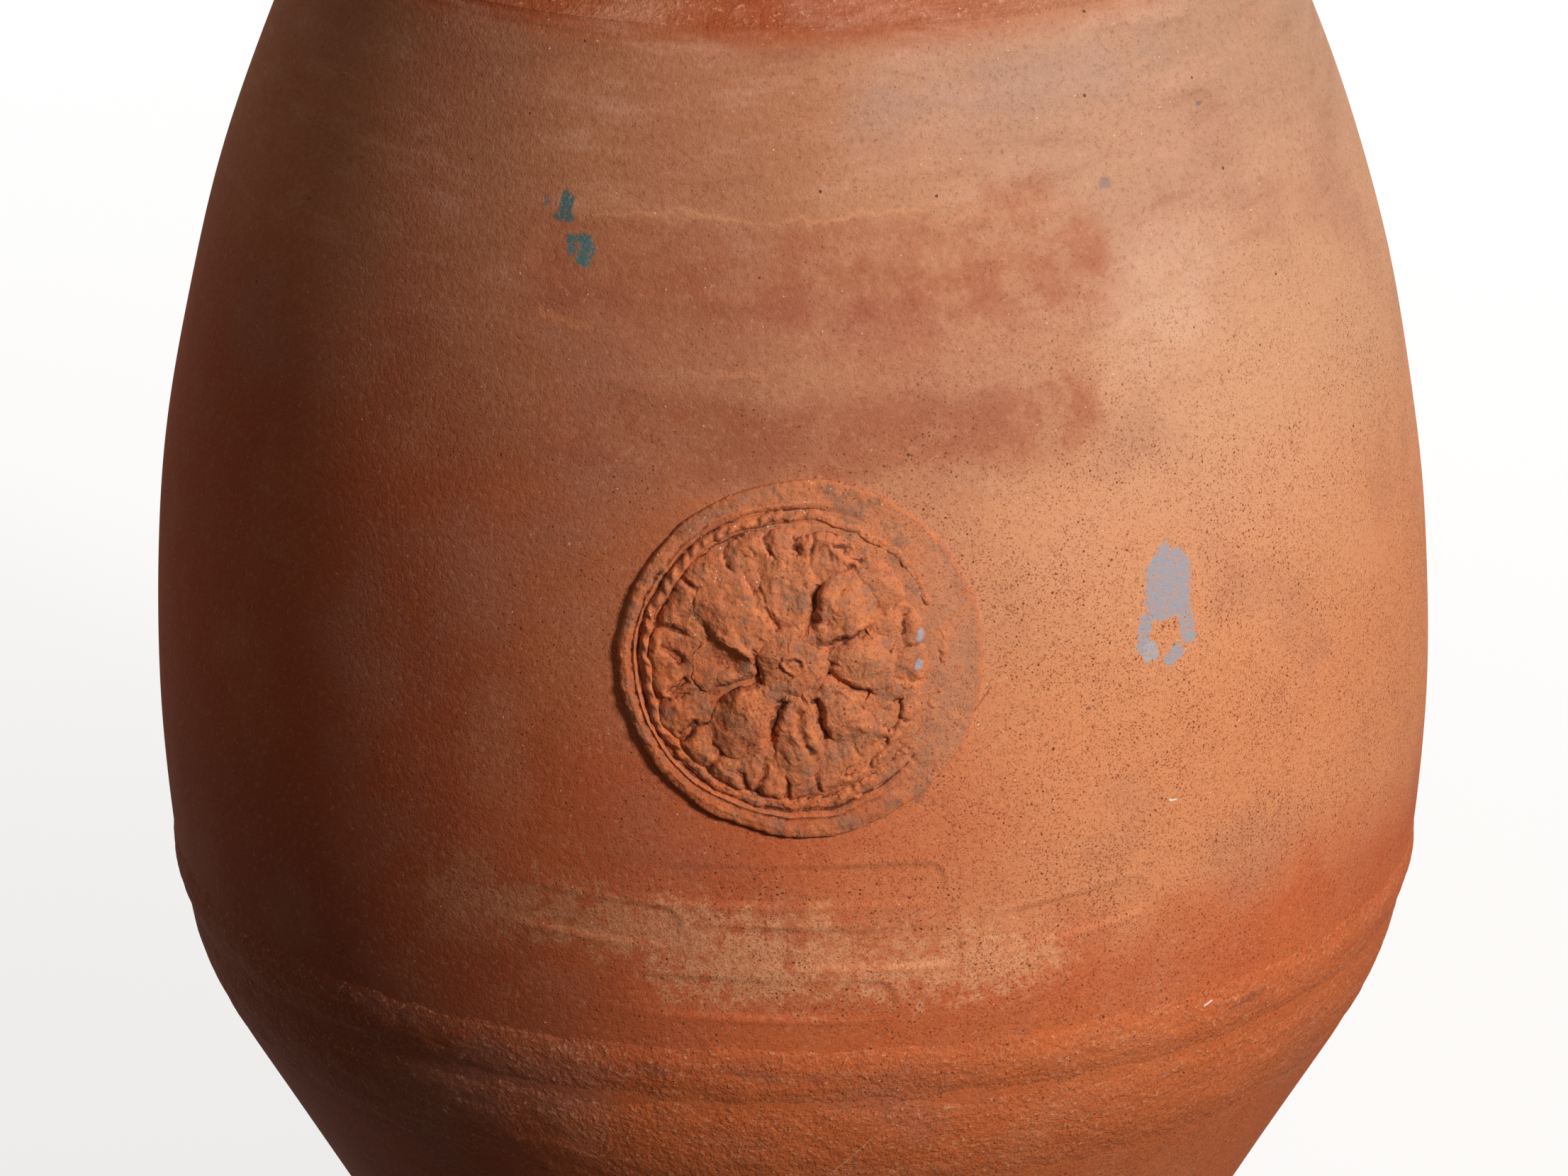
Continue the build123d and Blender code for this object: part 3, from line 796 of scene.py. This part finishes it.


# Sprig clay: finer, redder clay, matt and crumbly, greyed on its high flats by handling, orange
# in its hollows, with painted shade in its creases and deep furrows, and a few mica flakes painted as bright
# glints.
def sprig_clay():
    material, tree, place = start_material("pressed_relief_terracotta")
    hollow = add_node(tree, "ShaderNodeAttribute", attribute_name="hollow").outputs["Fac"]
    split = coordinates(tree, place)
    mottle = grain(tree, place, 13 * mm, 5, 0.65)
    base = hex_colour("#BC6238")
    base = tinted(tree, base, "#C67A50", eased(tree, split[0], -75 * mm, 40 * mm))
    base = tinted(tree, base, "#CC8058", eased(tree, split[2], 455 * mm, 520 * mm, 0.0, 0.6))
    base = tinted(tree, base, "#B85C34", eased(tree, split[2], 430 * mm, 396 * mm, 0.0, 0.7))
    handled = product(tree, eased(tree, mottle, 0.46, 0.60, 0.0, 0.85), eased(tree, hollow, 0.2, -0.05))
    base = tinted(tree, base, "#946850", handled)
    base = tinted(tree, base, "#C28260", eased(tree, split[0], 40 * mm, 66 * mm, 0.0, 0.7))
    base = tinted(tree, base, "#C9663A", eased(tree, hollow, 0.02, 0.22, 0.0, 0.45))
    base = tinted(tree, base, "#D07040", eased(tree, hollow, -0.04, -0.22, 0.0, 0.40))
    # Painted shade: dark in the creases and deep furrows of the relief.
    base = tinted(tree, base, "#46241B", eased(tree, hollow, 0.11, 0.42, 0.0, 0.85))
    bright = grain(tree, place, 9 * mm, 3, 0.6, shift=6.6)
    base = tinted(tree, base, "#D8804C", eased(tree, bright, 0.50, 0.66, 0.0, 0.6))
    base, relief = gritted(tree, place, base, 0.8)
    flecks = (
        (51.8, 478.5, 1.5, 1.2, 78, 0.5, 1.0, "#9F9BA0"),
        (51.2, 466.5, 1.1, 1.3, 80, 0.5, 1.0, "#9F9BA0"),
    )
    base = marked(tree, drifted(tree, place, 2.2 * mm, 1.2 * mm), base, flecks)
    # Painted highlights: mica flakes drawn as near-white glints, only at the upper left.
    upper_left = summed(tree, "SUBTRACT", split[2], split[0])
    glint = specks(tree, place, 1.5 * mm, 0.42 * mm, 0.4)
    glint = product(tree, glint, eased(tree, upper_left, 480 * mm, 540 * mm))
    some = eased(tree, grain(tree, place, 8 * mm, 2, shift=7.7), 0.50, 0.58)
    glint = product(tree, glint, some)
    base = tinted(tree, base, "#FFF2DA", glint)
    fine = grain(tree, place, 3.0 * mm, 3, 0.55, shift=4.4)
    relief = summed(tree, "MULTIPLY_ADD", fine, 0.35, relief)
    matt_clay(tree, base, relief)
    return material


sprig_material = sprig_clay()

# The disc: its edge stands proud at the lower left and is smeared into the wall at the right.
# Distance from the middle and height off the wall in mm, from the middle out.
disc_profile = (
    (0, 2.0), (56.6, 1.6), (58.3, 0.6), (59.5, 1.6), (62.4, 1.6), (63.6, 0.3), (64.8, 2.2), (66.0, 3.4),
    (67, 2.5), (68, 2.8), (71, 3.8), (73.4, 3.5), (74.5, 2.9), (75.0, 2.0), (75.1, -0.5), (78, -0.8),
)


def disc_edge(turn):
    """The disc sits a little to the right of the ring that is pressed on it."""
    return 1 + 0.045 * np.cos(turn)


def disc_lift(across, up):
    away = np.hypot(across, up)
    turn = np.arctan2(up, across)
    wander = 0.5 * np.sin(3 * turn + 1) + 0.35 * np.sin(7 * turn + 2) + 0.2 * np.sin(16 * turn)
    wear = 0.66 + 0.34 * np.cos(turn - math.radians(205))
    ringed = away + wander * smooth_step(50, 60, away)
    ringed /= 1 + (disc_edge(turn) - 1) * smooth_step(62, 72, away)
    kept = smooth_step(-1.0, 0.1, np.cos(turn - math.radians(200)))
    worn = np.interp(ringed, (0, 56, 66, 74, 75, 75.1, 78), (2.0, 1.8, 2.0, 2.2, 1.6, -0.5, -0.8))
    lift = worn + kept * (np.interp(ringed, *np.array(disc_profile).T) - worn)
    lift = np.where(lift > 0, lift * (1 - 0.7 * smooth_step(60, 72, away) * (1 - wear)), lift)
    return lift + (lift > 0.2) * wear * (0.9 * crumbs(across, up, 9, 4, 0.9) + rough_patches(across, up, 0.5))


disc_reaches = np.concatenate([np.linspace(0, 54, 8), np.linspace(56, 73.5, 42), np.linspace(73.9, 76.6, 10)])
piece = pressed_piece("medallion", disc_reaches, 900, (0, 0), disc_lift, reach_at=disc_edge, uneven=0.35)
finish_piece(piece, "medallion_disc", sprig_material)

# The corded ring: sixty worn strands on the disc, clearest at the upper left.
cord_count = 60
cord_reach = 60.9
cord_width = 1.9


def cord_lift(across, up):
    away = np.hypot(across, up)
    turn = np.arctan2(up, across)
    middle = cord_reach + 0.6 * np.sin(9 * turn + 1) + 0.45 * np.sin(23 * turn)
    kept = 0.5 + 0.5 * np.cos(turn - math.radians(155))
    strand = 0.5 + 0.5 * np.cos(cord_count * turn + (away - middle) / 1.4)
    ridge = np.exp(-(((away - middle) / cord_width) ** 4))
    lift = 0.7 + ridge * (0.9 + 1.3 * kept + 1.1 * kept * strand)
    return lift + (1.4 - 0.8 * kept) * crumbs(across, up, 6) + rough_patches(across, up, 0.4)


piece = pressed_piece("corded_ring", np.linspace(57.8, 64.2, 17), 900, (0, 0), cord_lift, 0.2, uneven=0.5)
finish_piece(piece, "medallion_cord_ring", sprig_material)

# The back row: sixteen rounded leaf tips behind the petals, with creases between them.
leaf_count = 16
leaf_strokes = (
    (((40, -28), (44, -19)), 3.0, 1.6, -3.0),
    (((37, -36), (31, -42), (24, -47)), 1.6, 3.0, -3.2),
    (((5, 49), (10, 52.5), (17, 50)), 3.2, 3.2, 2.0),
    (((1.5, 46), (1.8, 52), (6, 56)), 2.4, 1.6, -2.2),
    (((17, 46), (26, 41)), 1.6, 1.6, 1.5),
    (((28, 43), (18, 49)), 2.0, 1.3, -1.6),
    (((-20, 49), (-14, 51)), 3.0, 3.0, 1.1),
    (((-51, -14), (-44, -9)), 1.8, 1.4, -2.5),
    (((-53, 5), (-46, 0)), 1.8, 1.4, -2.2),
    (((-46, -31), (-40, -27)), 1.8, 1.4, -2.0),
    (((-17, -56), (-21, -48)), 2.2, 1.3, -2.1),
    (((-3, -58), (-2, -50)), 2.2, 1.4, -2.1),
    (((-12, -53), (-8, -56)), 3.2, 3.2, 1.1),
    (((44, 6), (46, 20)), 2.6, 2.6, -1.5),
)


def leaf_turn(turn):
    return turn + 0.07 * np.sin(3 * turn + 0.6) + 0.04 * np.sin(5 * turn)


def leaf_edge(turn):
    """How far the row reaches, as a share of 56 mm: further out at the left, with a dip at each crease."""
    lobe = np.abs(np.cos(leaf_count / 2 * leaf_turn(turn)))
    return (56.0 - 1.6 * np.cos(turn) - 1.4 * np.sin(turn) + 1.6 * lobe**0.7 + 0.5 * np.sin(11 * turn)) / 56


def leaf_lift(across, up):
    turn = np.arctan2(up, across)
    away = np.hypot(across, up) / leaf_edge(turn)
    lobe = np.abs(np.cos(leaf_count / 2 * leaf_turn(turn)))
    wear = 0.7 - 0.3 * np.cos(turn - 0.3)
    lift = np.interp(away, (34, 40, 46, 51, 53.5, 55.2, 56), (3.2, 3.5, 4.0, 4.3, 3.8, 2.6, 1.3))
    lift -= 2.1 * wear * np.exp(-((lobe / 0.22) ** 2)) * smooth_step(38, 47, away)
    lift -= 0.9 * (1 - wear) * smooth_step(44, 52, away)
    return lift + 1.1 * crumbs(across, up, 9, 4, 0.9) + rough_patches(across, up, 0.5)


leaf_reaches = np.linspace(34, 56, 45)
piece = pressed_piece(
    "back_leaves", leaf_reaches, 720, rosette_middle, leaf_lift, 0.5, leaf_edge, strokes=leaf_strokes
)
finish_piece(piece, "rosette_leaves", sprig_material)

# The petals: eight broad petals, no two alike. For each, the angle of its far edge going round
# from the right in degrees, its reach, its height, how much its middle is hollowed, and the
# height of its tip, in mm.
petal_rows = (
    (-153, 42.0, 7.4, 1.6, 4.2),
    (-104, 48.0, 8.8, 0.2, 4.0),
    (-71, 52.5, 7.2, -0.4, 3.6),
    (-28, 50.0, 8.6, 1.0, 1.2),
    (24.5, 48.5, 7.8, -0.5, 2.6),
    (71, 52.0, 9.4, 0.1, 1.6),
    (114, 47.5, 7.0, 1.6, 3.6),
    (161, 50.0, 8.0, 0.3, 4.0),
)
petal_strokes = (
    (((13, 10.5), (22, 14), (31, 17)), 2.0, 2.0, 1.6),
    (((14, 7), (25, 11.5), (34, 14.5)), 1.5, 3.2, -3.1),
    (((6.5, 16), (11, 32), (13, 39), (25, 42)), 3.2, 2.3, -3.2),
    (((14.6, -5), (23.4, -10), (31, -13)), 1.6, 2.8, -2.9),
    (((17, -13), (30, -19), (40, -26.5)), 1.4, 1.4, -1.3),
    (((9, -16), (12, -24), (15, -33)), 1.7, 2.2, -3.4),
    (((5, -19), (7, -27), (9, -33)), 2.6, 2.6, 1.4),
    (((3, -20), (3.5, -28), (7, -37)), 1.8, 1.8, -1.2),
    (((-4.7, -17), (-8, -27), (-9.4, -38)), 1.8, 2.8, -4.2),
    (((-14, -7), (-25, -12), (-35, -17), (-37, -23)), 1.9, 3.0, -6.0),
    (((-17, 3.9), (-31, 11)), 2.0, 2.0, 2.6),
    (((-24, -2), (-33, 1)), 5.0, 5.0, -1.8),
    (((-16, 37), (-17.5, 43), (-13, 48)), 2.8, 1.3, -2.6),
    (((-7, 14), (-15, 25), (-17, 34)), 1.6, 3.0, -2.3),
    (((-2.6, 41.5), (-1.6, 46)), 0.6, 0.6, -1.8),
    (((-26, 24), (-36, 24)), 6.0, 6.0, 1.2),
    (((20, 24), (34, 30)), 6.0, 6.0, 0.9),
    (((22, -22), (33, -29)), 5.0, 5.0, 1.2),
    (((-18, -24), (-26, -32)), 6.0, 6.0, 1.3),
    (((9, -9), (12, -4), (15, -1)), 1.6, 2.2, -2.5),
    (((-16, 3), (-14, -6)), 2.4, 1.6, -2.3),
    (((44, 2), (45, -8)), 2.5, 2.5, -1.2),
)
petal_edges = np.radians([row[0] for row in petal_rows])


def petal_share(turn):
    """Which petal a turn falls in, and where across it: -1 at one edge and 1 at the other."""
    full = np.append(petal_edges, petal_edges[0] + 2 * math.pi)
    turn = np.where(turn < petal_edges[0], turn + 2 * math.pi, turn)
    number = np.clip(np.searchsorted(full, turn, side="right") - 1, 0, len(petal_rows) - 1)
    return number, 2 * (turn - full[number]) / (full[number + 1] - full[number]) - 1


def petal_value(turn, column):
    """A petal's own number, eased into the next petal's near their shared edge."""
    number, share = petal_share(turn)
    values = np.array([row[column] for row in petal_rows])
    following = (number + np.where(share > 0, 1, -1)) % len(values)
    blend = 0.5 * smooth_step(0.82, 1.0, np.abs(share))
    return values[(number + 1) % len(values)] * (1 - blend) + values[(following + 1) % len(values)] * blend


def petal_edge(turn):
    share = petal_share(turn)[1]
    return petal_value(turn, 1) * (1 - 0.17 * np.abs(share) ** 2.0 + 0.01 * np.sin(23 * turn)) / 50


def petal_lift(across, up):
    turn = np.arctan2(up, across)
    share = petal_share(turn)[1]
    away = np.hypot(across, up) / petal_edge(turn)
    crest, tip = petal_value(turn, 2), petal_value(turn, 4)
    rise = np.interp(away, (11, 14, 18, 26, 36), (0.70, 0.74, 0.82, 0.95, 1.0))
    fall = smooth_step(29, 50.5, away) * (crest - tip)
    lift = crest * rise - fall - 1.4 * smooth_step(48.8, 50, away)
    lift -= 1.1 * np.abs(share) ** 4 * smooth_step(12, 22, away)
    lift -= petal_value(turn, 3) * 1.3 * np.exp(-((share / 0.5) ** 2) - ((away - 33) / 11) ** 2)
    return lift + 1.2 * crumbs(across, up, 10, 4, 0.9) + rough_patches(across, up, 0.45)


petal_reaches = np.linspace(11, 50, 96)
piece = pressed_piece(
    "petals", petal_reaches, 600, rosette_middle, petal_lift, 1.0, petal_edge, strokes=petal_strokes
)
finish_piece(piece, "rosette_petals", sprig_material)

# The boss: a low uneven dome of sprig clay in the middle of the petals, where their creases end.
# Its top is worn nearly flat.
boss_reach = 15.0


def boss_edge(turn):
    return 1 + 0.04 * np.sin(3 * turn + 2) + 0.05 * np.sin(5 * turn)


def boss_lift(across, up):
    away = np.hypot(across, up) / boss_edge(np.arctan2(up, across))
    lift = np.interp(away, (0, 5, 7, 10, 12.5, 14.2, 15), (7.8, 8.0, 7.8, 7.3, 6.3, 5.3, 3.8))
    return lift + 1.0 * crumbs(across, up, 7, 4, 0.9) + rough_patches(across, up, 0.4)


piece = pressed_piece("boss", np.linspace(0, boss_reach, 28), 240, rosette_middle, boss_lift, 1.5, boss_edge)
finish_piece(piece, "rosette_boss", sprig_material)

# The eye: a small ring with a dot in it, pressed on the boss in sprig clay. It is crumbly like
# the rest of the relief.
def eye_lift(across, up):
    away = np.hypot(across, up)
    ring = 1.1 * np.exp(-(((away - 4.0) / 1.1) ** 2)) + 0.8 * np.exp(-((away / 1.5) ** 2))
    edge = np.interp(away, (0, 5.0, 5.8, 6.2), (0, 0, -0.5, -1.6))
    return 8.0 + ring + edge + 1.0 * crumbs(across, up, 7, 4, 0.9) + rough_patches(across, up, 0.2)


piece = pressed_piece("eye", np.linspace(0, 6.2, 18), 120, rosette_middle, eye_lift, 5.0)
finish_piece(piece, "rosette_eye", sprig_material)

# Studio: a pale floor that keeps the jar's shadow and fades to white away from it, and a white
# backdrop. What is seen is white, while the light that falls meets a dark floor and a warm sky.
def seen_directly(tree):
    """1 for what is seen, also in a glint or through glass, and 0 for the light that falls."""
    ray = add_node(tree, "ShaderNodeLightPath")
    seen = summed(tree, "MAXIMUM", ray.outputs["Is Camera Ray"], ray.outputs["Is Glossy Ray"])
    return summed(tree, "MAXIMUM", seen, ray.outputs["Is Transmission Ray"])


floor_size = 16
white_from, white_to = 0.6, 2.6
bpy.ops.object.select_all(action="DESELECT")
bpy.ops.mesh.primitive_plane_add(size=floor_size)
floor = start_piece("studio_floor")
floor_paint = bpy.data.materials.new("pale_floor")
floor_paint.use_nodes = True
tree = floor_paint.node_tree
tree.nodes.clear()
seen = seen_directly(tree)
dim = add_node(tree, "ShaderNodeBsdfDiffuse", {"Color": hex_colour("#2C2A28")})
matt = add_node(tree, "ShaderNodeBsdfDiffuse", {"Color": hex_colour("#F4F2EF")})
glow = add_node(tree, "ShaderNodeEmission", {"Color": hex_colour("#FFFFFF"), "Strength": 1.0})
middle = add_node(tree, "ShaderNodeTexCoord").outputs["Object"]
away = add_node(tree, "ShaderNodeVectorMath", {0: middle}, operation="LENGTH").outputs["Value"]
whiter = eased(tree, away, white_from, white_to, 0.72, 1.0)
pale = add_node(tree, "ShaderNodeMixShader", {0: whiter, 1: matt.outputs[0], 2: glow.outputs[0]})
mixed = add_node(tree, "ShaderNodeMixShader", {0: seen, 1: dim.outputs[0], 2: pale.outputs[0]})
add_node(tree, "ShaderNodeOutputMaterial", {0: mixed.outputs[0]})
floor.data.materials.append(floor_paint)

world = bpy.data.worlds.new("studio_white")
bpy.context.scene.world = world
world.use_nodes = True
tree = world.node_tree
tree.nodes.clear()
ambient_level = (0.01, 0.36)
seen = seen_directly(tree)
facing = add_node(tree, "ShaderNodeTexCoord").outputs["Generated"]
upward = coordinates(tree, facing)
strength = eased(tree, upward[2], -0.1, 1.0, *ambient_level)
ambient = add_node(tree, "ShaderNodeBackground", {"Color": hex_colour("#FFE6D0"), "Strength": strength})
white = add_node(tree, "ShaderNodeBackground", {"Color": hex_colour("#FFFFFF"), "Strength": 1.0})
mixed = add_node(tree, "ShaderNodeMixShader", {0: seen, 1: ambient.outputs[0], 2: white.outputs[0]})
add_node(tree, "ShaderNodeOutputWorld", {0: mixed.outputs[0]})

# Lamps: one soft key from the right, and a weaker one behind for the far side. Each is given its
# azimuth and height over the belly in degrees, distance, size, and the level it lights clay to.
lamps = {
    "key": (41, 25, 3.2, 0.5, 0.96),
    "back": (165, 30, 3.2, 1.6, 0.6),
}
for name, (azimuth, rise, distance, size, level) in lamps.items():
    turn, lean = math.radians(azimuth), math.radians(rise)
    aim = Vector((math.sin(turn) * math.cos(lean), -math.cos(turn) * math.cos(lean), math.sin(lean)))
    lamp = bpy.data.lights.new(name + "_lamp", "AREA")
    lamp.size = size
    lamp.energy = level * (math.pi * distance) ** 2
    holder = bpy.data.objects.new(name + "_lamp", lamp)
    holder.location = Vector((0, 0, belly_height + 80 * mm)) + distance * aim
    holder.rotation_euler = aim.to_track_quat("Z", "Y").to_euler()
    bpy.context.scene.collection.objects.link(holder)

# Camera: a long lens a little above the shoulder, looking down at the front of the belly.
camera_spot = (-4 * mm, -2852 * mm, 1462 * mm)
camera_down = math.radians(20.5)
picture_width = 2212
lens_in_pixels = 9500
sensor_width = 36.0
lens = bpy.data.cameras.new("camera")
lens.sensor_width = sensor_width
lens.lens = lens_in_pixels / picture_width * sensor_width
camera = bpy.data.objects.new("camera", lens)
camera.location = camera_spot
camera.rotation_euler = (math.pi / 2 - camera_down, 0, 0)
bpy.context.scene.collection.objects.link(camera)
bpy.context.scene.camera = camera
bpy.context.scene.view_settings.view_transform = "Standard"
